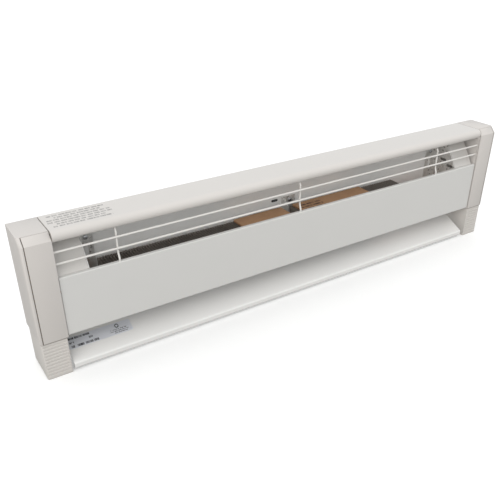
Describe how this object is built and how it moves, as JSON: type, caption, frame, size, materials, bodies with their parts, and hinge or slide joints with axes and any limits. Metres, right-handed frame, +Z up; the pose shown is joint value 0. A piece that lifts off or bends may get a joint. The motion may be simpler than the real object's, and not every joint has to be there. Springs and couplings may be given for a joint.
{
  "type": "baseboard heater",
  "caption": "Long low wall heater with a finned electric element behind a sheet front, an open wire guard above, a sloped air inlet below and ribbed end feet.",
  "frame": {"origin": "on the floor under the middle of the heater's bounding box", "axes": "+X along the heater, to the right seen from the room; -Y towards the room, +Y towards the wall; +Z up"},
  "size_m": [0.94, 0.064, 0.229],
  "materials": {
    "housing_paint": "smooth baked white enamel",
    "guard_paint": "white dip-coated wire",
    "cap_plastic": "fine satin moulded white plastic",
    "foot_plastic": "satin moulded white plastic",
    "galvanised_steel": "spangled zinc",
    "nylon": "natural nylon",
    "copper": "drawn copper",
    "fin_aluminium": "dark oiled aluminium",
    "brass_fitting": "turned brass",
    "steel_sheath": "drawn steel sheath",
    "insulator_ceramic": "glazed steatite",
    "lead_insulation": "high-temperature lead covering",
    "nut_plastic": "orange twist-on nut",
    "switch_plastic": "black phenolic",
    "grommet_rubber": "moulded rubber",
    "zinc_screw": "zinc-plated",
    "ground_green": "green plated screw",
    "silver_label": "matt silver film",
    "card_board": "brown corrugated card"
  },
  "bodies": {
    "housing": {"back_panel": "housing_paint", "top_cover": "housing_paint", "front_panel": "housing_paint", "left_baffle": "housing_paint", "right_baffle": "housing_paint", "guard_rods": "guard_paint", "guard_struts": "guard_paint", "left_end_cap": "cap_plastic", "right_end_cap": "cap_plastic", "left_foot": "foot_plastic", "right_foot": "foot_plastic", "left_element_bracket": "galvanised_steel", "centre_element_bracket": "galvanised_steel", "right_element_bracket": "galvanised_steel", "left_wiring_bulkhead": "galvanised_steel", "right_wiring_bulkhead": "galvanised_steel", "knockout_slug": "galvanised_steel", "left_tube_glide": "nylon", "centre_tube_glide": "nylon", "right_tube_glide": "nylon", "capillary_bushings": "nylon", "slot_plug": "grommet_rubber", "lead_grommet": "grommet_rubber", "limit_switch": "switch_plastic", "switch_terminals": "brass_fitting", "limit_capillary": "copper", "bracket_screws": "zinc_screw", "foot_screws": "zinc_screw", "cap_screws": "zinc_screw", "bulkhead_screws": "zinc_screw", "ground_screws": "ground_green", "rating_label": "silver_label"},
    "element": {"fluid_tube": "copper", "left_fin_pack": "fin_aluminium", "right_fin_pack": "fin_aluminium", "left_end_fitting": "brass_fitting", "right_end_fitting": "brass_fitting", "heating_rod": "steel_sheath", "terminal_insulator": "insulator_ceramic", "terminal_pins": "brass_fitting", "element_leads": "lead_insulation", "wire_nuts": "nut_plastic", "left_packing_card": "card_board", "right_packing_card": "card_board"},
    "left_cover": {"left_access_cover": "cap_plastic"},
    "right_cover": {"right_access_cover": "cap_plastic"}
  },
  "joints": [
    {"name": "left_cover_pull", "type": "slide", "parent": "housing", "child": "left_cover", "axis": [0, -1, 0], "range_m": [0, 0.06]},
    {"name": "right_cover_pull", "type": "slide", "parent": "housing", "child": "right_cover", "axis": [0, -1, 0], "range_m": [0, 0.06]},
    {"name": "element_drift", "type": "slide", "parent": "housing", "child": "element", "axis": [1, 0, 0], "range_m": [-0.0015, 0.0015]}
  ]
}
